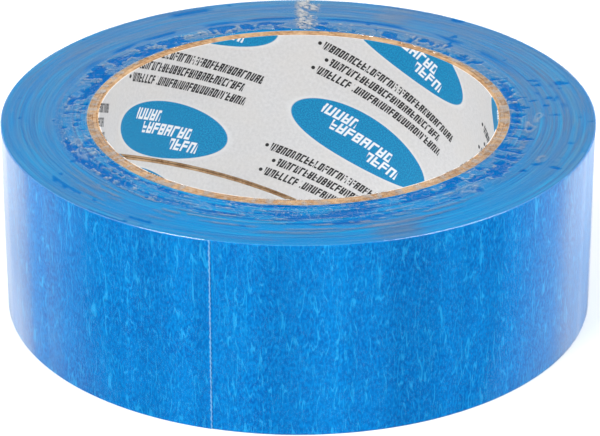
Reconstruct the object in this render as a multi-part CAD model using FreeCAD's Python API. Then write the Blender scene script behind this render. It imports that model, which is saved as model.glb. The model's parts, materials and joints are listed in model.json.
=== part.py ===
"""Roll of crepe masking tape on a spiral-wound paperboard core, in its heat-shrunk clear film.

Millimetres, +Z up, origin on the roll's axis in the plane that it stands on, -Y to the front.
The roll stands on one face. The tape's free end is just left of the front, and the last stretch
of the tape behind it is a body of its own, hinged where it leaves the roll when it is peeled.
"""

import FreeCAD, Part
import math
import os
from FreeCAD import Vector

# ---- driving dimensions -------------------------------------------------------------------

BORE_RADIUS = 38.0  # the standard 76 mm core
TAPE_WIDTH = 38.0  # the core is cut to the same width
FILM_OUTER_RADIUS = 56.77

FILM_THICKNESS = 0.05
FILM_SIDE_CLEARANCE = 0.05  # between the outermost wrap and the film's wall
FILM_TOP_CLEARANCE = 0.10  # the film bridges over the upper face and lies tight under the lower
FILM_EDGE_RADIUS = 38.8  # the film's free edge, folded in over the core's end
FILM_CORNER_RADIUS = 0.10  # outside radius where the film turns over the rim

BACKING_THICKNESS = 0.105  # crepe paper
ADHESIVE_THICKNESS = 0.035
TAPE_THICKNESS = BACKING_THICKNESS + ADHESIVE_THICKNESS

LINER_THICKNESS = 0.15  # white printed paper
INNER_PLY_THICKNESS = 0.70
MIDDLE_PLY_THICKNESS = 0.75
OUTER_PLY_THICKNESS = 0.75

# Each ply of the core is a strip wound as a helix, and its two edges nearly meet in a butt seam.
# The liner is laminated to the inner ply and a little narrower, so that both edges of the board
# and the fine slit between them show in the liner's gap. The other seams are staggered.
SEAM_LEAD = 115.0  # rise of a seam in one full turn
LINED_SEAM_ANGLE = 88.5  # of the liner and the inner ply, in degrees at z = 0
MIDDLE_SEAM_ANGLE = 205.0
OUTER_SEAM_ANGLE = 322.0
LINER_SEAM_GAP = 1.1  # gaps are measured along the axis
BOARD_SEAM_GAP = 0.3

FREE_END_ANGLE = 254.1  # where the tape ends; -Y is at 270 degrees
PEEL_LENGTH = 35.0  # length of tape that lifts off as one body
PEEL_GAP = 0.02  # lifts the loose end just clear of the wrap under it
HINGE_GAP = 0.03  # between the loose end and the wrap that it belongs to

# ---- derived dimensions -------------------------------------------------------------------

FLOOR = FILM_THICKNESS  # the roll stands on the film folded under it
TOP = FLOOR + TAPE_WIDTH
CORE_RADIUS = (
    BORE_RADIUS + LINER_THICKNESS + INNER_PLY_THICKNESS + MIDDLE_PLY_THICKNESS + OUTER_PLY_THICKNESS
)
FILM_INNER_RADIUS = FILM_OUTER_RADIUS - FILM_THICKNESS
FILM_TOP = TOP + FILM_TOP_CLEARANCE + FILM_THICKNESS

# A wrap is two half turns about centres half a step apart, so that it grows by one tape
# thickness a turn. The pack's outside is the wrap under the outermost one.
HALF_STEP = TAPE_THICKNESS / 2
END_RADIUS = FILM_INNER_RADIUS - FILM_SIDE_CLEARANCE  # outside of the tape at its free end
PACK_RADIUS = END_RADIUS - 2 * TAPE_THICKNESS  # lowest point of the pack's outside


def direction(angle):
    """Unit vector in the XY plane at this angle in degrees."""
    return Vector(math.cos(math.radians(angle)), math.sin(math.radians(angle)), 0)


def at(centre, radius, angle):
    """The point at this radius and angle about a centre."""
    return centre + direction(angle) * radius


AXIS = Vector(0, 0, 0)
SECOND_CENTRE = direction(FREE_END_ANGLE) * HALF_STEP
PEEL_SPAN = math.degrees(PEEL_LENGTH / END_RADIUS)
HINGE_ANGLE = FREE_END_ANGLE - PEEL_SPAN


# ---- building blocks ----------------------------------------------------------------------


def extruded(wires, z_low=FLOOR, z_high=TOP):
    """A solid between two heights whose outline is the first wire and whose hole is the second."""
    face = Part.Face(wires[0])
    if len(wires) > 1:
        face = face.cut(Part.Face(wires[1])).Faces[0]
    face.translate(Vector(0, 0, z_low))
    return face.extrude(Vector(0, 0, z_high - z_low))


def circle(radius):
    return Part.Wire([Part.makeCircle(radius)])


def arc(centre, radius, start, end):
    """An arc edge about a centre, from one angle to a larger one."""
    middle = (start + end) / 2
    return Part.Arc(
        at(centre, radius, start), at(centre, radius, middle), at(centre, radius, end)
    ).toShape()


def outline(edges):
    return Part.Wire(Part.__sortEdges__(edges))


def line(a, b):
    return Part.makeLine(a, b)


def seam_cutter(radius_in, radius_out, start_angle, gap):
    """A helical blade, one seam gap thick, that cuts a ply from end to end along its seam."""
    overshoot = 3.0
    height = TAPE_WIDTH + 2 * overshoot
    spine = Part.makeHelix(SEAM_LEAD, height, (radius_in + radius_out) / 2)
    low, high = radius_in - overshoot / 4, radius_out + overshoot / 4
    corners = [
        Vector(low, 0, -gap / 2),
        Vector(high, 0, -gap / 2),
        Vector(high, 0, gap / 2),
        Vector(low, 0, gap / 2),
    ]
    profile = Part.makePolygon(corners + corners[:1])
    sweep = Part.BRepOffsetAPI.MakePipeShell(spine)
    sweep.setFrenetMode(True)
    sweep.add(profile)
    sweep.build()
    sweep.makeSolid()
    blade = sweep.shape()
    lead_angle = 360.0 * (FLOOR - overshoot) / SEAM_LEAD
    blade.rotate(AXIS, Vector(0, 0, 1), start_angle + lead_angle)
    blade.translate(Vector(0, 0, FLOOR - overshoot))
    return blade


def core_ply(radius_in, thickness, seam_angle, gap):
    """One helically wound strip of the core, cut to the roll's width."""
    radius_out = radius_in + thickness
    tube = extruded([circle(radius_out), circle(radius_in)])
    ply = tube.cut(seam_cutter(radius_in, radius_out, seam_angle, gap))
    return ply.Solids[0]


def wrap(inside, thickness, end_angle):
    """The outermost turn of a layer, which starts at the free end's angle and stops at another.

    inside is how far the layer's inner face stands off the pack.
    """
    turned = FREE_END_ANGLE - 360.0
    halfway = turned + 180.0
    low, high = PACK_RADIUS + inside, PACK_RADIUS + inside + thickness
    edges = [
        arc(AXIS, low, turned, halfway),
        arc(SECOND_CENTRE, low + HALF_STEP, halfway, end_angle),
        line(
            at(SECOND_CENTRE, low + HALF_STEP, end_angle),
            at(SECOND_CENTRE, high + HALF_STEP, end_angle),
        ),
        arc(SECOND_CENTRE, high + HALF_STEP, halfway, end_angle),
        arc(AXIS, high, turned, halfway),
        line(at(AXIS, high, turned), at(AXIS, low, turned)),
    ]
    return extruded([outline(edges)])


def loose_layer(inside, thickness):
    """A layer of the loose end, from the hinge to where the tape stops."""
    start, end = HINGE_ANGLE, FREE_END_ANGLE
    low = PACK_RADIUS + HALF_STEP + PEEL_GAP + inside
    high = low + thickness
    edges = [
        arc(SECOND_CENTRE, low, start, end),
        line(at(SECOND_CENTRE, low, end), at(SECOND_CENTRE, high, end)),
        arc(SECOND_CENTRE, high, start, end),
        line(at(SECOND_CENTRE, high, start), at(SECOND_CENTRE, low, start)),
    ]
    return extruded([outline(edges)])


# ---- the pieces ---------------------------------------------------------------------------


def tape_pack():
    """All turns of the tape but the outermost: bonded into one ring, with a step at its outside."""
    turned = FREE_END_ANGLE - 360.0
    halfway = turned + 180.0
    edges = [
        arc(AXIS, PACK_RADIUS, turned, halfway),
        arc(SECOND_CENTRE, PACK_RADIUS + HALF_STEP, halfway, FREE_END_ANGLE),
        line(
            at(SECOND_CENTRE, PACK_RADIUS + HALF_STEP, FREE_END_ANGLE),
            at(AXIS, PACK_RADIUS, FREE_END_ANGLE),
        ),
    ]
    return extruded([outline(edges), circle(CORE_RADIUS)])


def shrink_film():
    """The film sleeve: a wall round the roll, folded in over both faces as far as the core."""
    r_edge, r_out, r_in = FILM_EDGE_RADIUS, FILM_OUTER_RADIUS, FILM_INNER_RADIUS
    z_top, bend = FILM_TOP, FILM_CORNER_RADIUS
    inner_bend = bend - FILM_THICKNESS
    slant = bend * (1 - math.sqrt(0.5))
    inner_slant = inner_bend * (1 - math.sqrt(0.5))

    def p(r, z):
        return Vector(r, 0, z)

    def corner(a, b, c):
        return Part.Arc(a, b, c).toShape()

    roof = z_top - FILM_THICKNESS
    edges = [
        line(p(r_edge, 0), p(r_out - bend, 0)),
        corner(p(r_out - bend, 0), p(r_out - slant, slant), p(r_out, bend)),
        line(p(r_out, bend), p(r_out, z_top - bend)),
        corner(p(r_out, z_top - bend), p(r_out - slant, z_top - slant), p(r_out - bend, z_top)),
        line(p(r_out - bend, z_top), p(r_edge, z_top)),
        line(p(r_edge, z_top), p(r_edge, roof)),
        line(p(r_edge, roof), p(r_in - inner_bend, roof)),
        corner(
            p(r_in - inner_bend, roof),
            p(r_in - inner_slant, roof - inner_slant),
            p(r_in, roof - inner_bend),
        ),
        line(p(r_in, roof - inner_bend), p(r_in, FLOOR + inner_bend)),
        corner(
            p(r_in, FLOOR + inner_bend),
            p(r_in - inner_slant, FLOOR + inner_slant),
            p(r_in - inner_bend, FLOOR),
        ),
        line(p(r_in - inner_bend, FLOOR), p(r_edge, FLOOR)),
        line(p(r_edge, FLOOR), p(r_edge, 0)),
    ]
    section = Part.Face(outline(edges))
    return section.revolve(AXIS, Vector(0, 0, 1), 360)


def core_pieces():
    """The core's four strips, from the printed liner in the bore outwards."""
    layers = [
        ("core_liner", LINER_THICKNESS, LINED_SEAM_ANGLE, LINER_SEAM_GAP),
        ("core_inner_ply", INNER_PLY_THICKNESS, LINED_SEAM_ANGLE, BOARD_SEAM_GAP),
        ("core_middle_ply", MIDDLE_PLY_THICKNESS, MIDDLE_SEAM_ANGLE, BOARD_SEAM_GAP),
        ("core_outer_ply", OUTER_PLY_THICKNESS, OUTER_SEAM_ANGLE, BOARD_SEAM_GAP),
    ]
    pieces = {}
    radius = BORE_RADIUS
    for node, thickness, seam_angle, gap in layers:
        pieces[node] = core_ply(radius, thickness, seam_angle, gap)
        radius += thickness
    return pieces


def tape_pieces():
    """The wound tape: the pack, the outermost wrap's two layers, and those of the loose end."""
    wrap_end = HINGE_ANGLE - math.degrees(HINGE_GAP / END_RADIUS)
    return {
        "tape_pack": tape_pack(),
        "outer_wrap_adhesive": wrap(0.0, ADHESIVE_THICKNESS, wrap_end),
        "outer_wrap_backing": wrap(ADHESIVE_THICKNESS, BACKING_THICKNESS, wrap_end),
        "free_end_adhesive": loose_layer(0.0, ADHESIVE_THICKNESS),
        "free_end_backing": loose_layer(ADHESIVE_THICKNESS, BACKING_THICKNESS),
    }


def main():
    os.makedirs("parts", exist_ok=True)
    pieces = {**core_pieces(), **tape_pieces(), "shrink_film": shrink_film()}
    for node, shape in pieces.items():
        assert shape.isValid() and len(shape.Solids) == 1, node
        shape.exportStep(f"parts/{node}.step")
        print(f"{node:22s} {shape.Volume:10.2f} mm3")
    hinge = at(SECOND_CENTRE, PACK_RADIUS + HALF_STEP + TAPE_THICKNESS + PEEL_GAP, HINGE_ANGLE)
    turns = (END_RADIUS - CORE_RADIUS) / TAPE_THICKNESS
    length = math.pi * (END_RADIUS**2 - CORE_RADIUS**2) / TAPE_THICKNESS / 1000
    print(f"hinge axis at x {hinge.x:.4f}, y {hinge.y:.4f}; angle {HINGE_ANGLE:.3f}")
    print(f"{turns:.1f} turns, {length:.1f} m of tape, core {2 * CORE_RADIUS:.2f} outside")


main()
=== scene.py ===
# %% [markdown]
# # A roll of crepe masking tape
#
# The roll stands on one face, still in its clear shrink film: a paperboard core with a printed
# liner, about 115 turns of blue crepe tape, and the film pulled tight over all of it. The CAD
# model holds every size, so each piece below takes its place from the frame.

import json
import math

import bpy
import numpy as np
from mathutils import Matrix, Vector, noise


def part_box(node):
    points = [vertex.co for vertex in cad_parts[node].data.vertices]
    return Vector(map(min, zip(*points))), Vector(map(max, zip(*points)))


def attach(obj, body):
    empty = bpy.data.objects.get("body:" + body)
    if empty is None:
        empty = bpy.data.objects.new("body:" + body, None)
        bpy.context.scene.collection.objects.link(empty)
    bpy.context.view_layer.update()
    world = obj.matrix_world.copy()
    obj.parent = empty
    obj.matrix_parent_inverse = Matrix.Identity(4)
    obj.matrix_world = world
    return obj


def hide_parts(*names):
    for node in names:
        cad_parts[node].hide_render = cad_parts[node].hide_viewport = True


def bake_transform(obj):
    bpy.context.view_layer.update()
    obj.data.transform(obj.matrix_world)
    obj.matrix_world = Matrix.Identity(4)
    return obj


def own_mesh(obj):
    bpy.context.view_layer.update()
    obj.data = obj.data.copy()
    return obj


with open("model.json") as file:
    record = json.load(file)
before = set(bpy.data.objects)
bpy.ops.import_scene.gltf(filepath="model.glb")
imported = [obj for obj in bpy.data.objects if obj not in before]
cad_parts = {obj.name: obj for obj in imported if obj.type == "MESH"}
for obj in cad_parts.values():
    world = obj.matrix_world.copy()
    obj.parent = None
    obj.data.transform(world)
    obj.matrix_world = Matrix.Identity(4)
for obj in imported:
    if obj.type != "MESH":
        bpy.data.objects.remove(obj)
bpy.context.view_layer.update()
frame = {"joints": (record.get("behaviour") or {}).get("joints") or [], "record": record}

# %% [markdown]
# ## Sizes
#
# What the frame can tell is read from it: the radii and heights of the pieces, and the hinge where
# the loose end of the tape lifts off. What a box can't tell is a named value here: the thickness of
# a layer, the place where the tape ends, and how fast a seam climbs.

# %% Sizes from the frame, in metres and degrees
MM = 0.001
TAPE_BACKING = 0.105 * MM
TAPE_ADHESIVE = 0.035 * MM
TAPE = TAPE_BACKING + TAPE_ADHESIVE
FREE_END_ANGLE = 254.1  # where the tape ends; the front is at 270

SEAM_LEAD = 115 * MM  # how far a seam of the core climbs in a turn
core_low, core_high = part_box("core_outer_ply")
FLOOR, TOP, CORE_RADIUS = core_low.z, core_high.z, core_high.x
BORE_RADIUS = frame["record"]["mounts"][0]["dims"]["r_mm"] * MM
PACK_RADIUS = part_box("tape_pack")[1].x
FILM_RADIUS, FILM_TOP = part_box("shrink_film")[1].x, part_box("shrink_film")[1].z
HINGE = Vector(frame["joints"][0]["pos_m"])
HINGE_ANGLE = math.degrees(math.atan2(HINGE.y, HINGE.x)) % 360
print(f"bore {BORE_RADIUS:.4f}, core {CORE_RADIUS:.4f}, pack {PACK_RADIUS:.4f}, film {FILM_RADIUS:.4f}")
print(f"tape from {FLOOR:.5f} to {TOP:.5f}, hinge at {HINGE_ANGLE:.2f} degrees")

# %% [markdown]
# ## Helpers for modelling
#
# Nearly every piece of a roll is a thin rectangle turned about the axis, so one helper stands a
# rectangle in the plane y = 0, and another spins it. Everything is deselected first, because an
# operator acts on all that is selected.

# %% Modelling helpers
AXIS = Vector((0, 0, 0))


def only(piece):
    """Selects this piece alone and makes it the active one."""
    if bpy.context.object and bpy.context.object.mode != "OBJECT":
        bpy.ops.object.mode_set(mode="OBJECT")
    bpy.ops.object.select_all(action="DESELECT")
    piece.select_set(True)
    bpy.context.view_layer.objects.active = piece


def edit(piece, select="SELECT"):
    only(piece)
    bpy.ops.object.mode_set(mode="EDIT")
    bpy.ops.mesh.select_all(action=select)


def apply_place():
    bpy.ops.object.transform_apply(location=True, rotation=True, scale=True)


def section(name, r_in, r_out):
    """A rectangle in the plane y = 0, from one radius to another, which a spin makes a ring of."""
    bpy.ops.object.select_all(action="DESELECT")
    middle = ((r_in + r_out) / 2, 0, (FLOOR + TOP) / 2)
    bpy.ops.mesh.primitive_plane_add(size=1, location=middle, rotation=(math.pi / 2, 0, 0))
    piece = bpy.context.object
    piece.name = piece.data.name = name
    piece.scale = (r_out - r_in, TOP - FLOOR, 1)
    apply_place()
    return piece


def cut_levels(piece, upright, cuts):
    """Divides the section's upright edges, or the level ones, into equal lengths."""
    edit(piece, "DESELECT")
    bpy.ops.object.mode_set(mode="OBJECT")
    for edge in piece.data.edges:
        a, b = (piece.data.vertices[i].co for i in edge.vertices)
        edge.select = (abs(a.z - b.z) > abs(a.x - b.x)) == upright
    bpy.ops.object.mode_set(mode="EDIT")
    bpy.ops.mesh.select_mode(type="EDGE")
    bpy.ops.mesh.subdivide(number_cuts=cuts)
    bpy.ops.mesh.select_mode(type="VERT")
    bpy.ops.mesh.select_all(action="SELECT")


def spin(piece, steps, sweep=360):
    """Spins the whole piece counter-clockwise about the roll's axis, and turns its faces outward."""
    edit(piece)
    closed = sweep == 360
    bpy.ops.mesh.spin(steps=steps, angle=-math.radians(sweep), center=AXIS, axis=(0, 0, 1),
                      use_auto_merge=closed)
    bpy.ops.mesh.select_all(action="SELECT")
    bpy.ops.mesh.normals_make_consistent(inside=False)
    bpy.ops.object.mode_set(mode="OBJECT")


def turn(piece, start):
    """Turns a piece about the roll's axis to its starting angle."""
    only(piece)
    piece.rotation_euler = (0, 0, math.radians(start))
    apply_place()


def co_of(piece):
    """The piece's vertices as an array, in the roll's frame."""
    co = np.empty(len(piece.data.vertices) * 3)
    piece.data.vertices.foreach_get("co", co)
    return co.reshape(-1, 3)


def put_co(piece, co):
    piece.data.vertices.foreach_set("co", np.asarray(co, np.float32).ravel())
    piece.data.update()


def finish_piece(piece, material, replaces=(), body="roll", smooth=30):
    """Shading, material, body and slot, which every piece gets."""
    only(piece)
    bpy.ops.object.shade_smooth_by_angle(angle=math.radians(smooth))
    piece.data.materials.clear()
    piece.data.materials.append(material)
    if body:
        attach(piece, body)
    if replaces:
        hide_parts(*replaces)
    print(f"{piece.name}: {len(piece.data.polygons)} faces")


# %% [markdown]
# ## Helpers for materials
#
# Each material is a small tree of nodes. The helpers add a node with its inputs, so that a tree
# reads like a sum. A value that is the same all over goes straight onto the shader's own socket.

# %% Material helpers


class Tree:
    """A material's node tree, with short ways to add the nodes that these finishes need."""

    def __init__(self, name):
        self.material = bpy.data.materials.new(name)
        self.material.use_nodes = True
        self.nodes, self.links = self.material.node_tree.nodes, self.material.node_tree.links
        self.shader = self.nodes["Principled BSDF"]
        self.output = self.nodes["Material Output"]

    def put(self, socket, value):
        if isinstance(value, bpy.types.NodeSocket):
            self.links.new(value, socket)
        elif value is not None:
            socket.default_value = value

    def add(self, kind, inputs, **settings):
        added = self.nodes.new("ShaderNode" + kind)
        for setting, value in settings.items():
            setattr(added, setting, value)
        for key, value in inputs.items():
            self.put(added.inputs[key], value)
        return added

    def math(self, operation, a, b=None, c=None):
        return self.add("Math", {0: a, 1: b, 2: c}, operation=operation).outputs[0]

    def vector(self, operation, a, b=None):
        return self.add("VectorMath", {0: a, 1: b}, operation=operation).outputs[0]

    def point(self, x, y, z=0.0):
        return self.add("CombineXYZ", {0: x, 1: y, 2: z}).outputs[0]

    def noise(self, at, scale, detail=2.0, rough=0.5, distortion=0.0):
        given = {"Vector": at, "Scale": scale, "Detail": detail, "Roughness": rough}
        given["Distortion"] = distortion
        return self.add("TexNoise", given).outputs[0]

    def span(self, value, low, high, to_low=0.0, to_high=1.0, smooth=True):
        """value brought from low..high to another range, and held inside it."""
        given = {0: value, 1: low, 2: high, 3: to_low, 4: to_high}
        kind = "SMOOTHSTEP" if smooth else "LINEAR"
        return self.add("MapRange", given, interpolation_type=kind).outputs[0]

    def mix(self, share, a, b):
        """Colour a where share is 0, and b where it is 1."""
        given = {0: share, 6: a, 7: b}
        return self.add("Mix", given, data_type="RGBA").outputs[2]

    def bump(self, height, strength, distance):
        given = {"Height": height, "Strength": strength, "Distance": distance}
        return self.add("Bump", given).outputs[0]

    def uv(self, name):
        """A UV map of the piece's own, whose values are metres, in millimetres."""
        source = self.add("UVMap", {}, uv_map=name).outputs[0]
        scaled = self.vector("MULTIPLY", source, (1000, 1000, 1000))
        parts = self.add("SeparateXYZ", {0: scaled}).outputs
        return scaled, parts[0], parts[1]

    def polar(self):
        """Object coordinates in millimetres, and the distance from the roll's axis."""
        place = self.add("TexCoord", {}).outputs["Object"]
        scaled = self.vector("MULTIPLY", place, (1000, 1000, 1000))
        parts = self.add("SeparateXYZ", {0: scaled}).outputs
        flat = self.point(parts[0], parts[1])
        radius = self.add("VectorMath", {0: flat}, operation="LENGTH").outputs["Value"]
        return scaled, radius, parts[2]

    def rings(self, place, radius, wander, finely):
        """A place for a noise that changes along the radius, and hardly round the roll."""
        round_it = self.vector("MULTIPLY", place, (wander, wander, 0))
        outward = self.point(0.0, 0.0, self.math("MULTIPLY", radius, finely))
        return self.vector("ADD", round_it, outward)


def rgb(red, green, blue):
    """A colour as seen on a screen, 0 to 255, as the linear colour that a socket takes."""
    values = [c / 255 for c in (red, green, blue)]
    return tuple(c / 12.92 if c <= 0.04045 else ((c + 0.055) / 1.055) ** 2.4 for c in values) + (1,)


# %% [markdown]
# ## The core's four strips
#
# A spiral-wound core is made of strips that run round a mandrel at an angle, each ply's seam
# staggered from the next. A ring with a slit, spun a little short of a full turn, becomes such a
# strip when it is twisted by as much as its seam climbs: the Twist of Simple Deform does exactly
# that. Cutting a helical slit out of a closed ring would give ragged edges.

# %% A helical strip
def helical_strip(name, r_in, thickness, seam_angle, gap, levels=30, steps=300):
    """A ply of the core: a slit ring, twisted so that its slit climbs as the seam does."""
    slit = 360 * gap / SEAM_LEAD
    piece = section(name, r_in, r_in + thickness)
    cut_levels(piece, upright=True, cuts=levels)
    spin(piece, steps, 360 - slit)
    turn(piece, seam_angle + slit / 2)
    mark_strip(piece, seam_angle, r_in)
    twist = piece.modifiers.new("twist", "SIMPLE_DEFORM")
    twist.deform_method, twist.deform_axis = "TWIST", "Z"
    twist.angle = 2 * math.pi * (TOP - FLOOR) / SEAM_LEAD
    bpy.ops.object.modifier_apply(modifier="twist")
    return piece


# %% [markdown]
# The print on the liner follows the strip, not the roll, so the strip gets a UV map of its own
# while the ring is still untwisted: u runs along the strip and v across it, both in metres.

# %% The strip's UV map
SEAM_SLOPE = math.atan2(SEAM_LEAD, 2 * math.pi * BORE_RADIUS)


def mark_strip(piece, seam_angle, radius):
    co = co_of(piece)
    angle = np.degrees(np.arctan2(co[:, 1], co[:, 0]))
    angle = seam_angle - 360 + (angle - seam_angle) % 360 + 360 * co[:, 2] / SEAM_LEAD
    along = np.radians(90 - angle) * radius
    u = along * math.cos(SEAM_SLOPE) - co[:, 2] * math.sin(SEAM_SLOPE)
    v = along * math.sin(SEAM_SLOPE) + co[:, 2] * math.cos(SEAM_SLOPE)
    layer = piece.data.uv_layers.new(name="strip")
    corner = np.empty(len(piece.data.loops), np.int32)
    piece.data.loops.foreach_get("vertex_index", corner)
    layer.data.foreach_set("uv", np.stack([u, v], 1)[corner].astype(np.float32).ravel())


# %% [markdown]
# ## Finish of the liner: printed paper
#
# White paper with blue ovals and blocks of small print, in a half-drop repeat that runs on along
# the strip, turn after turn. The tree folds the strip's coordinates into one repeat and draws the
# shapes there. The words are rows of plain marks: they have the weight of print, and say nothing.

# %% The print's layout, in millimetres
COLUMN, ROW, DROP = 41.5, 25.0, 12.9  # the repeat, and how far each column is shifted
OVAL_AT = (5.2, 19.9)  # the middle of one oval, on the strip
OVAL = (16.1, 5.85)  # half its length and half its height
PRINT_SKEW = 0.017  # the print lies a degree off the strip
OVAL_WORDS = [(2.6, -10.3, -2.6), (0.0, -7.2, 7.0), (-2.6, 2.4, 9.8)]  # level, start, end
BLOCK_ROWS = [(2.6, -16.1, 17.4), (-0.15, -13.3, 14.3), (-2.9, -15.0, 15.9)]
WORD_TALL, WORD_MARK, WORD_POST = 2.3, 1.9, 0.25  # height, pitch, and a post's share of the pitch
ROW_TALL, ROW_MARK, ROW_POST = 1.8, 1.05, 0.34
BULLET_BEFORE, BULLET_RADIUS, BULLET_SOFT = 0.95, 0.40, 0.06
WORD_SEED, ROW_SEED, GAP_SEED = 3, 40, 7

# %% [markdown]
# A mark stands for a letter and is none: a post, by chance a second one, and up to three bars
# between them. The chance comes from the mark's number in its row, so it never changes.

# %% Marks of print
MARK_FROM, MARK_TO = 0.05, 0.86  # where a mark starts and ends within its pitch
MARK_LEAN = -0.22
SECOND_POST = 0.35
POST_SOFT, BAR_SOFT = 0.05, 0.04
BARS = [  # from and to, as shares of the mark's height, and the throw of the dice that draws it
    (0.28, 0.6, 1, "GREATER_THAN", 0.40),
    (-0.11, 0.11, 2, "GREATER_THAN", 0.45),
    (-0.6, -0.28, 1, "LESS_THAN", 0.60),
]


def band(t, value, low, high, soft=0.06):
    """1 where value lies between two limits, with soft edges."""
    rising = t.span(value, low - soft, low + soft)
    falling = t.span(value, high - soft, high + soft, 1.0, 0.0)
    return t.math("MULTIPLY", rising, falling)


def nearest(t, value, pitch):
    """value folded about the nearest whole number of pitches, and that number."""
    count = t.math("ROUND", t.math("DIVIDE", value, pitch))
    return t.math("SUBTRACT", value, t.math("MULTIPLY", count, pitch)), count


def total(t, parts):
    """All the parts laid over one another."""
    joined = parts[0]
    for part in parts[1:]:
        joined = t.math("MAXIMUM", joined, part)
    return joined


def marks(t, x, y, level, start, end, tall, pitch, seed, post):
    """A row of upright marks, each of a post or two and some bars by chance, between two ends."""
    inside = t.math("MULTIPLY", band(t, x, start, end), band(t, y, level - tall / 2, level + tall / 2))
    lean = t.math("MULTIPLY_ADD", t.math("SUBTRACT", y, level), MARK_LEAN, x)
    across = t.math("DIVIDE", lean, pitch)
    place = t.math("FRACT", across)
    number = t.math("ADD", t.math("FLOOR", across), seed)
    chance = t.add("TexWhiteNoise", {"W": number}, noise_dimensions="1D").outputs
    height = t.math("DIVIDE", t.math("SUBTRACT", y, level), tall)
    dice = t.add("SeparateXYZ", {0: chance[1]}).outputs
    left = band(t, place, MARK_FROM, MARK_FROM + post, POST_SOFT)
    second = band(t, place, MARK_TO - post, MARK_TO, POST_SOFT)
    right = t.math("MULTIPLY", second, t.math("GREATER_THAN", dice[0], SECOND_POST))
    wide = band(t, place, MARK_FROM, MARK_TO, POST_SOFT)
    bars = []
    for low, high, die, compared, limit in BARS:
        drawn = t.math(compared, dice[die], limit)
        bars.append(t.math("MULTIPLY", band(t, height, low, high, BAR_SOFT), drawn))
    crossed = t.math("MULTIPLY", wide, total(t, bars))
    return t.math("MULTIPLY", inside, total(t, [left, right, crossed]))


def word_gaps(t, x, seed):
    """Breaks a row into words of uneven length."""
    wave = t.noise(t.point(x, seed), 0.33, 0.0)
    return t.span(t.math("ABSOLUTE", t.math("SUBTRACT", wave, 0.5)), 0.006, 0.016)


# %% [markdown]
# The paper itself is a dull white with faint clouds. The blue is laid on it unevenly, as a cheap
# press does, with a paler rim of bare paper round each oval, and the black goes on last.

# %% The printed paper
def printed_paper():
    t = Tree("printed_paper")
    place, u, v = t.uv("strip")
    x, column = nearest(t, t.math("SUBTRACT", u, OVAL_AT[0]), COLUMN)
    shifted = t.math("SUBTRACT", t.math("SUBTRACT", v, OVAL_AT[1]), t.math("MULTIPLY", column, DROP))
    skew = t.math("MULTIPLY", x, PRINT_SKEW)
    oval_y = t.math("SUBTRACT", nearest(t, shifted, ROW)[0], skew)
    block_y = t.math("SUBTRACT", nearest(t, t.math("SUBTRACT", shifted, ROW / 2), ROW)[0], skew)

    across = t.math("POWER", t.math("DIVIDE", x, OVAL[0]), 2.0)
    upward = t.math("POWER", t.math("DIVIDE", oval_y, OVAL[1]), 2.0)
    from_middle = t.math("ADD", across, upward)
    oval = t.span(from_middle, 0.975, 1.02, 1.0, 0.0)
    words = []
    for level, start, end in OVAL_WORDS:
        seed = WORD_SEED + level
        words.append(marks(t, x, oval_y, level, start, end, WORD_TALL, WORD_MARK, seed, WORD_POST))
    white = total(t, words)
    rows = []
    for level, start, end in BLOCK_ROWS:
        seed = ROW_SEED + level
        row = marks(t, x, block_y, level, start, end, ROW_TALL, ROW_MARK, seed, ROW_POST)
        rows.append(t.math("MULTIPLY", row, word_gaps(t, x, GAP_SEED + level)))
        from_x = t.math("POWER", t.math("SUBTRACT", x, start - BULLET_BEFORE), 2.0)
        from_y = t.math("POWER", t.math("SUBTRACT", block_y, level), 2.0)
        away = t.math("SQRT", t.math("ADD", from_x, from_y))
        rows.append(t.span(away, BULLET_RADIUS - BULLET_SOFT, BULLET_RADIUS + BULLET_SOFT, 1.0, 0.0))
    black = total(t, rows)

    fibre = t.noise(place, 1.6, 4.0, 0.65)
    cloud = t.noise(place, 0.12, 2.0)
    paper = t.mix(t.span(fibre, 0.3, 0.7), rgb(196, 194, 193), rgb(208, 206, 205))
    paper = t.mix(t.span(cloud, 0.35, 0.75, 0.0, 0.35), paper, rgb(206, 201, 194))
    speckle = t.noise(place, 3.4, 3.0, 0.7)
    blue = t.mix(t.span(speckle, 0.36, 0.66), rgb(0, 108, 158), rgb(8, 142, 188))
    halo = t.span(from_middle, 1.0, 1.22, 1.0, 0.0)
    paper = t.mix(t.math("MULTIPLY", halo, 0.6), paper, rgb(216, 216, 216))
    inked = t.mix(t.math("MULTIPLY", oval, t.span(speckle, 0.1, 0.4, 0.93, 1.0)), paper, blue)
    lettered = t.mix(t.math("MULTIPLY", white, oval), inked, rgb(224, 226, 228))
    printed = t.mix(t.math("MULTIPLY", black, 0.98), lettered, rgb(14, 12, 14))
    t.put(t.shader.inputs["Base Color"], printed)
    t.put(t.shader.inputs["Roughness"], t.span(fibre, 0.2, 0.8, 0.52, 0.68))
    t.put(t.shader.inputs["Normal"], t.bump(fibre, 0.25, 0.03 * MM))
    t.shader.inputs["Specular IOR Level"].default_value = 0.3
    return t.material


# %% [markdown]
# ## Finish of the plies: kraft board
#
# Brown fibres, mottled on the faces. On the cut ends the layers show as fine lines round the bore,
# which a noise that is stretched along the circle gives: it reads the radius finely, and the place
# round the circle only coarsely.

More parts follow.
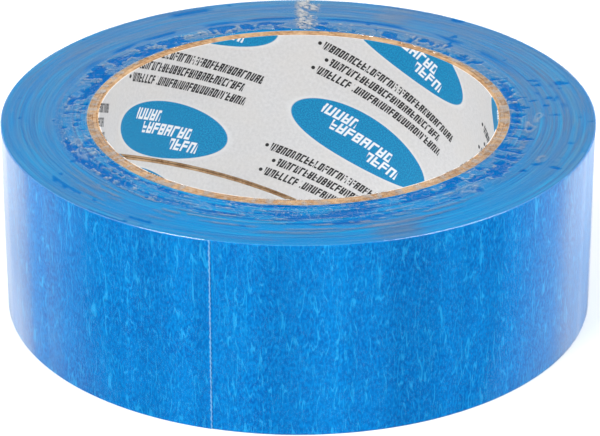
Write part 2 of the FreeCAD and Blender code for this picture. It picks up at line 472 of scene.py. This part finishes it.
# %% Kraft board
def kraft_board():
    t = Tree("kraft_board")
    place, radius, height = t.polar()
    rolled = t.point(t.math("MULTIPLY", radius, 5.0), t.math("MULTIPLY", height, 0.2))
    layers = t.noise(rolled, 1.0, 3.0, 0.6)
    fibre = t.noise(t.vector("MULTIPLY", place, (1, 1, 0.6)), 1.1, 5.0, 0.7)
    patches = t.noise(place, 0.25, 2.0)
    tone = t.math("MULTIPLY_ADD", t.math("SUBTRACT", layers, 0.5), 0.9, fibre)
    colour = t.mix(t.span(tone, 0.28, 0.72), rgb(126, 92, 60), rgb(182, 148, 112))
    colour = t.mix(t.span(patches, 0.4, 0.7, 0.0, 0.4), colour, rgb(198, 170, 136))
    t.put(t.shader.inputs["Base Color"], colour)
    t.shader.inputs["Roughness"].default_value = 0.86
    t.shader.inputs["Specular IOR Level"].default_value = 0.2
    t.put(t.shader.inputs["Normal"], t.bump(tone, 0.5, 0.08 * MM))
    return t.material


# %% [markdown]
# The liner is made first and the plies are laid on it from the inside out, each with its seam about
# a third of a turn on. The liner's edges stand a millimetre apart, and the board shows between them.
# The liner has more steps than the plies, because its inside is what one sees.

# %% The core
PLY_THICKNESSES = {"core_inner_ply": 0.70 * MM, "core_middle_ply": 0.75 * MM, "core_outer_ply": 0.75 * MM}
PLY_SEAMS = {"core_inner_ply": 88.5, "core_middle_ply": 205.0, "core_outer_ply": 322.0}
LINER_THICKNESS = CORE_RADIUS - BORE_RADIUS - sum(PLY_THICKNESSES.values())
LINER_GAP, BOARD_GAP = 1.1 * MM, 0.15 * MM
PLY_STEPS = 200

liner = helical_strip("printed_liner", BORE_RADIUS, LINER_THICKNESS, PLY_SEAMS["core_inner_ply"], LINER_GAP)
finish_piece(liner, printed_paper(), ["core_liner"])

board = kraft_board()
ply_radius = BORE_RADIUS + LINER_THICKNESS
for node, ply_thickness in PLY_THICKNESSES.items():
    ply = helical_strip(node + "_board", ply_radius, ply_thickness, PLY_SEAMS[node], BOARD_GAP,
                        steps=PLY_STEPS)
    finish_piece(ply, board, [node])
    ply_radius += ply_thickness

# %% [markdown]
# ## Finish of the tape: crepe paper
#
# Crepe paper is creased across its length while it is wet, so on a standing roll the creases run
# up and down, a few millimetres long, and catch the light as pale ticks. That pale colour is a
# painted highlight, laid on creases that are bumped as well. A noise stretched up the tape gives
# the creases: where it crosses its middle value it leaves a thin wandering line, and a second
# noise breaks the lines into ticks.

# %% Crepe paper
CREPE_DEEP, CREPE_BLUE, CREPE_CREST_HIGHLIGHT = rgb(0, 98, 174), rgb(0, 132, 203), rgb(34, 164, 220)


def crease_lines(t, u, v, spacing, length, width, seed):
    """Thin wandering upright lines, broken into ticks."""
    lifted = t.point(t.math("DIVIDE", u, spacing), t.math("DIVIDE", v, length), seed)
    wander = t.noise(lifted, 1.0, 1.0, 0.5)
    line = t.span(t.math("ABSOLUTE", t.math("SUBTRACT", wander, 0.5)), 0.0, width, 1.0, 0.0)
    broken = t.noise(t.point(u, t.math("MULTIPLY", v, 0.45), seed + 5), 0.75, 1.0)
    return t.math("MULTIPLY", line, t.span(broken, 0.44, 0.56))


def crepe_paper(name, uv_name):
    t = Tree(name)
    _, u, v = t.uv(uv_name)
    ticks = crease_lines(t, u, v, spacing=1.5, length=9.0, width=0.028, seed=0.0)
    fine = crease_lines(t, u, v, spacing=0.8, length=4.5, width=0.05, seed=9.0)
    grain = t.noise(t.point(u, t.math("MULTIPLY", v, 0.5), 3.0), 2.6, 4.0, 0.65)
    cloud = t.noise(t.point(u, t.math("MULTIPLY", v, 0.5), 6.0), 0.16, 3.0, 0.6)
    colour = t.mix(t.span(grain, 0.38, 0.62), CREPE_DEEP, CREPE_BLUE)
    colour = t.mix(t.span(cloud, 0.3, 0.7, 0.0, 0.30), colour, rgb(4, 134, 206))
    # painted highlight: the pale colour on the ticks and fine creases stands for light caught by the
    # creases, which the bump below also raises
    colour = t.mix(t.math("MULTIPLY", fine, 0.34), colour, CREPE_CREST_HIGHLIGHT)
    colour = t.mix(t.math("MULTIPLY", ticks, 0.8), colour, CREPE_CREST_HIGHLIGHT)
    # painted highlight: a pale, broken band along the tape's cut end stands for light caught by the cut
    # edge
    from_end = t.math("SUBTRACT", 2 * math.pi * PACK_RADIUS / MM, u)
    end_glint_width = t.math("MULTIPLY", t.noise(t.point(0.0, v, 12.0), 1.6, 2.0), 0.6)
    colour = t.mix(t.span(t.math("SUBTRACT", end_glint_width, from_end), 0.0, 0.15), colour, rgb(120, 180, 222))
    t.put(t.shader.inputs["Base Color"], colour)
    t.put(t.shader.inputs["Roughness"], t.span(grain, 0.2, 0.8, 0.5, 0.7))
    t.shader.inputs["Specular IOR Level"].default_value = 0.05
    lesser = t.math("ADD", t.math("MULTIPLY", fine, 0.4), grain)
    relief = t.math("ADD", t.math("MULTIPLY", ticks, 0.8), lesser)
    t.put(t.shader.inputs["Normal"], t.bump(relief, 0.5, 0.06 * MM))
    return t.material


# %% [markdown]
# ## Finish of the wound edges
#
# On the roll's two faces only the edges of the turns show, as very fine rings. They are one noise
# along the radius: a hundred turns are far finer than any mesh, but the tone they give is not.

# %% Wound edges
def wound_edges():
    t = Tree("wound_edges")
    place, radius, _ = t.polar()
    rings = t.noise(t.rings(place, radius, wander=0.03, finely=3.4), 1.0, 3.0, 0.75)
    broad = t.noise(t.rings(place, radius, wander=0.03, finely=0.55), 1.0, 2.0)
    fibre = t.noise(place, 2.5, 3.0, 0.6)
    colour = t.mix(t.span(rings, 0.3, 0.7), rgb(0, 92, 152), rgb(4, 134, 182))
    colour = t.mix(t.span(broad, 0.40, 0.60, 0.0, 0.6), colour, rgb(0, 110, 168))
    colour = t.mix(t.span(fibre, 0.55, 0.8, 0.0, 0.25), colour, rgb(40, 158, 222))
    t.put(t.shader.inputs["Base Color"], colour)
    t.shader.inputs["Roughness"].default_value = 0.75
    t.shader.inputs["Specular IOR Level"].default_value = 0.1
    t.put(t.shader.inputs["Normal"], t.bump(rings, 0.6, 0.05 * MM))
    return t.material


# %% [markdown]
# ## The pack of tape
#
# The pack is a ring whose faces are cut into narrow rings, each set back by a hair's breadth of its
# own, as turns that were not slit and wound perfectly flush are. The outside grows by one
# thickness of tape in a turn, with a step where the tape's end lies.

# %% The pack
FACE_CUTS = 46  # each face is cut into one ring more than this
FACE_UNEVEN = 0.03 * MM
PACK_STEPS = 480
ON_RADIUS = 0.1 * MM  # a point this close to a radius counts as on it
rng = np.random.default_rng(7)

pack = section("wound_tape", CORE_RADIUS, PACK_RADIUS)
edit(pack)
bpy.ops.mesh.delete(type="ONLY_FACE")
cut_levels(pack, upright=False, cuts=FACE_CUTS)
bpy.ops.object.mode_set(mode="OBJECT")
pack_co = co_of(pack)
between = (pack_co[:, 0] > CORE_RADIUS + ON_RADIUS) & (pack_co[:, 0] < PACK_RADIUS - ON_RADIUS)
upper = pack_co[:, 2] > (FLOOR + TOP) / 2
pack_co[between, 2] += np.where(upper, -1, 1)[between] * rng.uniform(0, FACE_UNEVEN, between.sum())
put_co(pack, pack_co)
spin(pack, PACK_STEPS)
print("rings in each face", FACE_CUTS + 1, "steps round", PACK_STEPS)


# %% [markdown]
# Crepe needs to know how far along the tape a point is, and how high, so the pieces that show the
# tape's face carry a UV map with just that. A point on the step itself could belong to either
# turn, so at_step says, in degrees, to which side of the step a piece looks.

# %% The tape's UV map, and the growth of the roll
def mark_face(piece, at_step=-0.01):
    """u is the way round the roll and v the height, both in metres."""
    co = co_of(piece)
    angle = (np.arctan2(co[:, 1], co[:, 0]) - math.radians(FREE_END_ANGLE - at_step)) % (2 * math.pi)
    uv = np.stack([angle * PACK_RADIUS, co[:, 2]], 1)
    layer = piece.data.uv_layers.new(name="face")
    corner = np.empty(len(piece.data.loops), np.int32)
    piece.data.loops.foreach_get("vertex_index", corner)
    layer.data.foreach_set("uv", uv[corner].astype(np.float32).ravel())


def grow(piece, beyond, at_step=-0.01):
    """Moves what lies beyond a radius outwards by as much as the tape has gained there."""
    co = co_of(piece)
    radius = np.hypot(co[:, 0], co[:, 1])
    turned = ((np.degrees(np.arctan2(co[:, 1], co[:, 0])) - FREE_END_ANGLE + at_step) % 360) / 360
    gain = np.where(radius > beyond, TAPE * turned, 0)
    co[:, :2] *= ((radius + gain) / radius)[:, None]
    put_co(piece, co)


mark_face(pack)
grow(pack, PACK_RADIUS - ON_RADIUS)
crepe = crepe_paper("crepe_paper", "face")
edges = wound_edges()
finish_piece(pack, edges, ["tape_pack"])
pack.data.materials.append(crepe)
for polygon in pack.data.polygons:
    if abs(polygon.normal.z) < 0.5 and polygon.center.xy.length > PACK_RADIUS - 2 * ON_RADIUS:
        polygon.material_index = 1

# %% [markdown]
# ## The outermost wrap
#
# The last turn and the loose end are spun as thin rectangles, backing and adhesive apart. The
# loose end stops in the fine zigzag that the slitting knife leaves.

# %% A layer of tape
STEPS_PER_DEGREE = 1.5
FEWEST_STEPS = 8
AT_THE_END = 0.2  # degrees of the layer that the teeth are cut into


def adhesive_film():
    t = Tree("adhesive")
    place = t.polar()[0]
    lumps = t.noise(place, 1.2, 3.0, 0.6)
    colour = t.mix(t.span(lumps, 0.3, 0.7), rgb(104, 158, 206), rgb(136, 180, 216))
    t.put(t.shader.inputs["Base Color"], colour)
    t.put(t.shader.inputs["Roughness"], t.span(lumps, 0.2, 0.8, 0.3, 0.5))
    t.put(t.shader.inputs["Normal"], t.bump(lumps, 0.4, 0.04 * MM))
    return t.material


def tape_layer(name, r_in, thickness, start, end, levels, at_step):
    """A stretch of one layer of the tape, from one angle round to another."""
    piece = section(name, r_in, r_in + thickness)
    cut_levels(piece, upright=True, cuts=levels)
    sweep = end - start
    spin(piece, max(FEWEST_STEPS, round(sweep * STEPS_PER_DEGREE)), sweep)
    turn(piece, start)
    mark_face(piece, at_step)
    return piece


def zigzag_end(piece, angle, depth, pitch):
    """Gives the end of a layer the fine teeth of a cut edge."""
    co = co_of(piece)
    here = np.degrees(np.arctan2(co[:, 1], co[:, 0])) % 360
    last = here > angle - AT_THE_END
    tooth = np.abs(((co[:, 2] / pitch) % 1) * 2 - 1) * depth
    back = np.where(last, tooth / PACK_RADIUS, 0)
    x, y = co[:, 0].copy(), co[:, 1].copy()
    co[:, 0] = x * np.cos(back) + y * np.sin(back)
    co[:, 1] = y * np.cos(back) - x * np.sin(back)
    put_co(piece, co)


# %% [markdown]
# The loose end stays in one with the wrap behind it when it is peeled, so it bends over its first
# centimetre and only then follows the hinge as a plate. It lies a hair above the turn below, which
# keeps the two apart while the film is on.

# %% The last wrap and the loose end
PEEL_LIFT = 0.02 * MM
TOOTH_DEPTH, TOOTH_PITCH = 0.16 * MM, 1.0 * MM
WRAP_LEVELS, LOOSE_LEVELS = 1, 75  # two rows of the loose end go to a tooth
glue = adhesive_film()
LAYERS = [
    ("adhesive", 0.0, TAPE_ADHESIVE, glue, "adhesive"),
    ("backing", TAPE_ADHESIVE, TAPE_BACKING, crepe, "crepe_backing"),
]
for kind, inside, layer_thickness, layer_material, layer_slot in LAYERS:
    wrap = tape_layer(f"last_wrap_{kind}", PACK_RADIUS + inside, layer_thickness,
                      FREE_END_ANGLE - 360, HINGE_ANGLE, WRAP_LEVELS, at_step=0.01)
    grow(wrap, 0, at_step=0.01)
    finish_piece(wrap, layer_material, [f"outer_wrap_{kind}"])

    loose = tape_layer(f"loose_end_{kind}", PACK_RADIUS + PEEL_LIFT + inside, layer_thickness,
                       HINGE_ANGLE, FREE_END_ANGLE, LOOSE_LEVELS, at_step=-0.01)
    grow(loose, 0)
    zigzag_end(loose, FREE_END_ANGLE, TOOTH_DEPTH, TOOTH_PITCH)
    finish_piece(loose, layer_material, [f"free_end_{kind}"], body=None)
    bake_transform(loose)

# %% [markdown]
# ## The shrink film
#
# The film is one skin: an edge in the bore's mouth, the top, a small rounding, the wall, and the
# same again underneath. Its profile is drawn as a chain of points and spun, then given thickness.
# It is drawn tight over the outer rim, but nothing pulls it flat near the core, where it puckers:
# there it clings to the tape in dark wet-looking patches with raised folds between them.

# %% The film's profile
FILM_THICKNESS = 0.05 * MM
FILM_ROUNDING = 0.25 * MM
FILM_LIP = 38.6 * MM
CLING = 0.055 * MM  # outer skin above the tape, where the film touches
PUCKERED = 48 * MM  # the film is taut beyond this radius
TURN_STEPS = 720


def film_profile():
    """Radius and height of each point, from the bore's mouth over the top and down to the floor."""
    rim = FILM_RADIUS - FILM_ROUNDING
    points = [(r, FILM_TOP) for r in np.linspace(FILM_LIP, PUCKERED, 34, endpoint=False)]
    points += [(r, FILM_TOP) for r in np.linspace(PUCKERED, rim, 16)]
    corner = np.radians([68, 45, 22])
    for a in corner:
        points.append((rim + FILM_ROUNDING * math.cos(a), FILM_TOP + FILM_ROUNDING * (math.sin(a) - 1)))
    levels = (FILM_TOP - FILM_ROUNDING, FILM_TOP - 2.2 * FILM_ROUNDING, FILM_TOP / 2, FILM_ROUNDING)
    points += [(FILM_RADIUS, z) for z in levels]
    for a in corner[::-1]:
        points.append((rim + FILM_ROUNDING * math.cos(a), FILM_ROUNDING * (1 - math.sin(a))))
    points += [(r, 0.0) for r in np.linspace(rim, FILM_LIP + 0.5 * MM, 6)]
    return points


bpy.ops.object.select_all(action="DESELECT")
bpy.ops.mesh.primitive_plane_add(size=MM)
film = bpy.context.object
film.name = film.data.name = "clear_shrink_film"
edit(film)
bpy.ops.mesh.merge(type="CENTER")
profile = film_profile()
bpy.ops.mesh.select_all(action="SELECT")
bpy.ops.transform.translate(value=(profile[0][0], 0, profile[0][1]))
for (r_from, z_from), (r_to, z_to) in zip(profile, profile[1:]):
    bpy.ops.mesh.extrude_region_move(TRANSFORM_OT_translate={"value": (r_to - r_from, 0, z_to - z_from)})
spin(film, TURN_STEPS)
top_face = max(film.data.polygons, key=lambda p: p.center.z - abs(p.center.xy.length - 50 * MM))
if top_face.normal.z < 0:
    edit(film)
    bpy.ops.mesh.flip_normals()
    bpy.ops.object.mode_set(mode="OBJECT")
print("film rows", len(profile), "faces", len(film.data.polygons))


# %% [markdown]
# The film's edge in the bore's mouth is ragged, so it is moved in or out first, and the rest of the
# top is stretched to follow. Noises then make the folds. Three are told apart by how they are
# stretched: short radial folds, round blobs, and long streaks round the roll. A broad one is added
# to all of them, and a fine one lays painted glints of crinkles on the heat seal.

# %% The ragged lip and the noises
LIP_ANGLES = [0, 50, 75, 95, 115, 135, 165, 232, 300, 360]
LIP_RADII = [38.5, 39.6, 40.2, 40.9, 40.4, 39.8, 38.7, 38.3, 38.4, 38.5]
LIP_RAGGED = 0.35  # millimetres
LIP_NOISE = 30  # the radius of the circle that the lip's noise is read on
FOLD_RADIUS = 44  # the middle of the puckered ring, in millimetres
ON_LEVEL = 0.001 * MM  # a point this close to a height counts as on it


def noise_field(x, y, z):
    """Blender's own noise at every point."""
    return np.array([noise.noise(Vector(place)) for place in zip(x, y, z)])


co = co_of(film)
angle = np.degrees(np.arctan2(co[:, 1], co[:, 0])) % 360
radius = np.hypot(co[:, 0], co[:, 1]) / MM
on_top = co[:, 2] > FILM_TOP - ON_LEVEL
under = co[:, 2] < ON_LEVEL
circle_x, circle_y = np.cos(np.radians(angle)), np.sin(np.radians(angle))

ragged = noise_field(circle_x * LIP_NOISE, circle_y * LIP_NOISE, np.full(len(co), 3.0))
lip = np.interp(angle, LIP_ANGLES, LIP_RADII) + LIP_RAGGED * ragged
rim = (FILM_RADIUS - FILM_ROUNDING) / MM
share = (rim - radius) / (rim - FILM_LIP / MM)
moved = np.where(on_top | under, radius + np.where(radius < rim, share, 0) * (lip - FILM_LIP / MM), radius)


def folds(long_way, short_way, seed):
    """A noise with folds of a given length round the roll and across it, in millimetres."""
    size = FOLD_RADIUS / long_way
    return noise_field(circle_x * size, circle_y * size, moved / short_way + seed)


radial = folds(1.2, 3.6, 0.0)
blobs = folds(3.4, 1.9, 40.0)
streaks = folds(10.0, 0.55, 80.0)
broad = folds(7.0, 2.6, 120.0)
fine = folds(1.0, 0.8, 160.0)
print("lip from", round(float(lip.min()), 2), "to", round(float(lip.max()), 2), "millimetres")


# %% [markdown]
# Which noise rules depends on where it is on the roll: radial folds on the right and, weaker, on
# the left and behind, streaks in front, and blobs elsewhere. Where their sum is high the film
# clings, and where it is low the film stands off the tape. The puckered ring reaches further out
# in front than behind.

# %% Where the film clings
REACH_ANGLES = [0, 40, 60, 95, 130, 165, 190, 225, 262, 312, 340, 360]
REACH_RADII = [43.0, 43.6, 44.8, 44.6, 45.0, 45.5, 46.6, 46.0, 47.0, 48.6, 45.2, 43.0]


def around(angle, centre, half, soft=12):
    """1 near an angle, falling to 0 beyond half a width, in degrees."""
    away = np.abs((angle - centre + 180) % 360 - 180)
    return np.clip((half + soft - away) / soft, 0, 1)


def step(low, high, value):
    """0 below one limit and 1 above the other, with a smooth rise between."""
    t = np.clip((value - low) / (high - low), 0, 1)
    return t * t * (3 - 2 * t)


front = around(angle, 262, 34, 20)
right = around(angle, 8, 38, 16)
left = around(angle, 190, 38, 20)
back = around(angle, 95, 38, 16)
radial_share = np.clip(right + 0.55 * left + 0.55 * back, 0, 1)
streak_share = np.clip(front + 0.45 * around(angle, 225, 22, 16), 0, 1)
blob_share = np.clip(1 - radial_share * 0.6 - streak_share * 0.85, 0, 1)
mixed = radial_share * radial + streak_share * streaks + blob_share * blobs + 0.45 * broad

reach = np.interp(angle, REACH_ANGLES, REACH_RADII)
inner = 1 - step(reach - 1.4, reach + 1.6, moved)
touch = mixed - 0.55 * (1 - inner) + 0.02 * inner
clinging = step(0.02, 0.12, touch)
print("puckered share of the top", round(float(inner[on_top].mean()), 3))


# %% [markdown]
# A few marks stand at places of their own: raised curls, small nicks where the film touches, a
# band and a patch that cling behind, and the heat seal across the film. Together with the folds
# they lift the mesh.

# %% The heights of the film
SWIRLS = [  # angle, radius and size of each raised curl, in degrees and millimetres
    (205, 44.0, 1.5), (198, 43.2, 0.9), (-9, 44.6, 1.3),
    (-3, 46.2, 0.9), (-25, 49.6, 0.8), (-48, 46.0, 1.1),
]
NICKS = [(55, 55.0), (15, 50.6), (8, 49.4), (12, 47.6), (4, 50.2), (-27, 50.4), (-24, 49.2)]
CURL_WIDTH, NICK_WIDTH = 0.26, 0.42
CURL_LONG = 1.5  # how much longer a curl is round the roll than across it
HEAT_SEAL_ANGLE = 88
FOLD_LIFT, EDGE_LIFT, CURL_LIFT, TAUT_LIFT, SEAL_LIFT = 0.16, 0.10, 0.12, 0.035, 0.10  # millimetres


def ring_at(centre_angle, centre_radius, size, width):
    """A raised curl of film: a ring, a little longer round the roll than across it."""
    x = np.radians((angle - centre_angle + 180) % 360 - 180) * centre_radius / CURL_LONG + 1.6 * blobs
    y = moved - centre_radius + 1.4 * broad
    return np.exp(-(((np.hypot(x, y) - size) / width) ** 2))


def hump(middle, width):
    """1 at a radius, falling off to both sides."""
    return np.exp(-(((moved - middle) / width) ** 2))


curls = sum(ring_at(a, r, size, CURL_WIDTH) for a, r, size in SWIRLS)
nicks = sum(ring_at(a, r, 0.0, NICK_WIDTH) for a, r in NICKS)
seal = around(angle, HEAT_SEAL_ANGLE, 1.6, 1.5)
cling_band = around(angle, 92, 52, 22) * hump(46.6, 0.75) * step(-0.28, 0.05, broad + 0.1)
cling_patch = around(angle, 114, 3.5, 2) * hump(54.4, 0.9)

edge_line = np.exp(-(((touch + 0.03) / 0.04) ** 2)) * inner
touching = np.maximum.reduce([clinging, cling_band, cling_patch, nicks])
cling = np.clip(touching * (1 - 0.8 * seal) - 0.8 * curls, 0, 1)
lift = FOLD_LIFT * inner * (1 - cling) * (0.6 + 0.8 * np.clip(-mixed, 0, 1))
lift += EDGE_LIFT * edge_line + CURL_LIFT * curls
lift += TAUT_LIFT * (1 - inner) * (1 - cling) * (0.5 + streaks)
lift += SEAL_LIFT * seal * (0.5 + radial)
lift = np.maximum(lift, 0)
at_rim = step(rim - 0.8, rim, moved)
height = (TOP + CLING + lift * MM) * (1 - at_rim) + FILM_TOP * at_rim

lifted = co.copy()
lifted[:, :2] *= (moved / np.maximum(radius, 1e-6))[:, None]
lifted[on_top, 2] = height[on_top]
lifted[under, 2] = 0
put_co(film, lifted)
print("folds up to", round(float(lift[on_top].max()), 3), "millimetres high")

# %% [markdown]
# Four attributes take the folds to the finish: cling, where the film touches the tape, veil, how
# much of the sheen a place shows, glint, the light that a sharp fold throws back from any side, and
# pucker, where the film is slack.

# %% Cling, veil, glint and pucker
CORE_EDGE = (40.2, 40.6)  # where the board ends and the tape begins, in millimetres
VEIL_MOST = 4

front_dull = around(angle, 275, 30, 30)
veil = 1.4 - 1.15 * front_dull - 0.35 * around(angle, 195, 25, 25)
streak_zone = front * step(40.5, 42.5, moved) * (1 - 0.8 * step(49.5, 53, moved))
veil += 3.4 * streak_zone * step(0.0, 0.24, streaks)
veil *= 1 - 0.92 * cling
# painted glints: where a fine noise is high on the heat seal, the film mirrors the room from any side,
# standing for light caught by its crinkles
seal_crinkle_glint = seal * step(0.10, 0.32, np.abs(fine) + 0.3 * radial)
ring_sheen = step(0.0, 0.35, radial) * (1 - step(*CORE_EDGE, moved))
veil += 0.6 * around(angle, 68, 2.2, 3) * step(47, 49, moved)
veil += 1.3 * around(angle, 289, 2.5, 3.5) * step(49, 51, moved)
veil = np.where(on_top, np.clip(veil, 0, VEIL_MOST), 1.0)
cling = np.where(on_top, cling * step(*CORE_EDGE, moved), 0.0)
rim_row = (~on_top) & (co[:, 2] > FILM_TOP - FILM_ROUNDING + 0.01 * MM)
bright_rim = 0.10 * (1 - around(angle, 268.6, 14.5, 2)) * rim_row
fold_glint = 0.36 * edge_line * (0.4 + step(-0.1, 0.25, broad)) + 0.2 * curls
fold_glint = fold_glint + 0.75 * seal_crinkle_glint + 0.4 * ring_sheen
glint = np.where(on_top, fold_glint, bright_rim)

pucker = np.where(on_top, inner, 0)
for attribute_name, values in (("cling", cling), ("veil", veil), ("glint", glint), ("pucker", pucker)):
    attribute = film.data.attributes.new(attribute_name, "FLOAT", "POINT")
    attribute.data.foreach_set("value", values.astype(np.float32))
print("clinging share of the top", round(float(cling[on_top].mean()), 3))

# %% [markdown]
# ## Finish of the film: clear plastic over tape
#
# Seen squarely the film is nearly invisible, and seen at a slant it mirrors the room, more than one
# sheet of glass would, since both its faces do. So the share of light it throws back comes from
# Fresnel, with the faint part near the square view taken off. The rest passes straight through,
# slightly deepened where the film clings and no air is left under it.

# %% Clear film
CREST_GLINT = 0.16  # what the finest folds throw back
SQUARE_ON, SLANTED = 0.058, 0.42  # Fresnel values at which the sheen starts and is full
SHEEN_FULL, SHARE_MOST = 0.46, 0.95
CLING_TINT = (0.30, 0.72, 0.87, 1)


def clear_film():
    t = Tree("clear_film")
    fresnel = t.add("Fresnel", {"IOR": 1.5}).outputs[0]
    veil_at = t.add("Attribute", {}, attribute_name="veil").outputs["Fac"]
    cling_at = t.add("Attribute", {}, attribute_name="cling").outputs["Fac"]
    pucker_at = t.add("Attribute", {}, attribute_name="pucker").outputs["Fac"]
    place, radius, _ = t.polar()
    lines = t.noise(t.rings(place, radius, wander=0.09, finely=1.7), 1.0, 2.0)
    sheen = t.span(fresnel, SQUARE_ON, SLANTED, 0.0, SHEEN_FULL, smooth=False)
    sheen = t.math("MULTIPLY", sheen, t.span(lines, 0.3, 0.7, 0.62, 1.38))
    glint_at = t.add("Attribute", {}, attribute_name="glint").outputs["Fac"]
    net = t.noise(t.vector("MULTIPLY", place, (1, 1, 0)), 0.5, 2.0, 0.6, 0.8)
    crests = t.span(t.math("ABSOLUTE", t.math("SUBTRACT", net, 0.5)), 0.006, 0.03, 1.0, 0.0)
    crests = t.math("MULTIPLY", t.math("MULTIPLY", crests, pucker_at), CREST_GLINT)
    bright = t.math("ADD", glint_at, crests)
    share = t.math("MINIMUM", t.math("MULTIPLY_ADD", sheen, veil_at, bright), SHARE_MOST)
    through = t.mix(t.span(cling_at, 0.0, 1.0, smooth=False), (1, 1, 1, 1), CLING_TINT)
    clear = t.add("BsdfTransparent", {"Color": through}).outputs[0]
    t.shader.inputs["Base Color"].default_value = (0.92, 0.94, 0.95, 1)
    t.shader.inputs["Metallic"].default_value = 1.0
    t.shader.inputs["Roughness"].default_value = 0.12
    ripple = t.noise(t.vector("MULTIPLY", place, (1, 1, 0.5)), 0.9, 2.0)
    t.put(t.shader.inputs["Normal"], t.bump(ripple, 0.25, 0.05 * MM))
    joined = t.add("MixShader", {0: share, 1: clear, 2: t.shader.outputs[0]}).outputs[0]
    t.put(t.output.inputs["Surface"], joined)
    return t.material


def film_inside():
    """The face towards the tape, whose reflection the outer face already stands for."""
    t = Tree("film_inside")
    place = t.polar()[0]
    dust = t.noise(place, 0.6, 3.0)
    clear = t.add("BsdfTransparent", {"Color": (1, 1, 1, 1)}).outputs[0]
    t.put(t.shader.inputs["Roughness"], t.span(dust, 0.2, 0.8, 0.1, 0.2))
    share = t.span(dust, 0.3, 0.8, 0.0, 0.01)
    joined = t.add("MixShader", {0: share, 1: clear, 2: t.shader.outputs[0]}).outputs[0]
    t.put(t.output.inputs["Surface"], joined)
    return t.material


# %% [markdown]
# The skin is given its thickness last, inwards, so that its outside keeps its size. The film has to
# be off before the tape can be peeled, so it sinks flat onto the floor as the hinge opens. That
# stands for a film that has been taken off, and isn't how film moves.

# %% The film's two faces
FILM_SMOOTH = 60

finish_piece(film, clear_film(), ["shrink_film"], smooth=FILM_SMOOTH)
film.data.materials.append(film_inside())
thicken = film.modifiers.new("thickness", "SOLIDIFY")
thicken.thickness, thicken.offset, thicken.material_offset = FILM_THICKNESS, -1, 1
only(film)
bpy.ops.object.modifier_apply(modifier="thickness")
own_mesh(film)
print("film", len(film.data.polygons), "faces")

# %% [markdown]
# ## Floor, light and camera
#
# A white floor that runs out of sight: a roll like this is lit for a catalogue, with hardly a
# shadow. The paint has no shine of its own, so nothing is mirrored in it.

# %% Floor
FLOOR_SIZE = 6

bpy.ops.object.select_all(action="DESELECT")
bpy.ops.mesh.primitive_plane_add(size=FLOOR_SIZE, location=(0, 0, 0))
floor = bpy.context.object
floor.name = "floor"
paint = Tree("floor_paint")
paint.shader.inputs["Base Color"].default_value = (0.92, 0.92, 0.92, 1)
paint.shader.inputs["Roughness"].default_value = 0.9
paint.shader.inputs["Specular IOR Level"].default_value = 0.0
floor.data.materials.append(paint.material)
print("floor", FLOOR_SIZE, "metres across")

# %% [markdown]
# A pale room gives most of the light from all round, and two large discs above, one to each side,
# give the rim and the folds their shape. Large lamps close by make soft shadows.

# %% Light
ROOM_STRENGTH = 0.72

world = bpy.data.worlds.new("pale_room")
bpy.context.scene.world = world
world.use_nodes = True
world.node_tree.nodes["Background"].inputs["Color"].default_value = (1.0, 1.0, 1.0, 1)
world.node_tree.nodes["Background"].inputs["Strength"].default_value = ROOM_STRENGTH


def lamp(name, place, aim, size, power):
    bpy.ops.object.light_add(type="AREA", location=place)
    made = bpy.context.object
    made.name = name
    made.data.shape, made.data.size, made.data.energy = "DISK", size, power
    made.rotation_euler = (Vector(aim) - Vector(place)).to_track_quat("-Z", "Y").to_euler()
    print(f"{name}: {size} metres across, {power} watts")


lamp("key", (-0.9, -0.7, 1.5), (0, 0, 0), 1.1, 32)
lamp("fill", (1.1, -0.4, 1.2), (0, 0, 0), 1.2, 20)

# %% [markdown]
# The camera looks down on the roll from the front, at a bit less than thirty degrees. Its lens is
# long, so that the roll's sides stay upright.

# %% Camera
CAMERA_RISE = math.radians(27.61)
CAMERA_AWAY = 0.6
CAMERA_AT = (0, -CAMERA_AWAY * math.cos(CAMERA_RISE), CAMERA_AWAY * math.sin(CAMERA_RISE))
CAMERA_AIM = Vector((0.0003, 0, 0.0156))
CAMERA_LENS, SENSOR_WIDTH = 183.2, 36

bpy.ops.object.camera_add(location=CAMERA_AT)
camera = bpy.context.object
camera.data.lens = CAMERA_LENS
camera.data.sensor_width = SENSOR_WIDTH
camera.rotation_euler = (CAMERA_AIM - camera.location).to_track_quat("-Z", "Y").to_euler()
bpy.context.scene.camera = camera
bpy.context.scene.view_settings.view_transform = "Standard"
print("camera", CAMERA_AWAY, "metres away, lens", CAMERA_LENS, "millimetres")
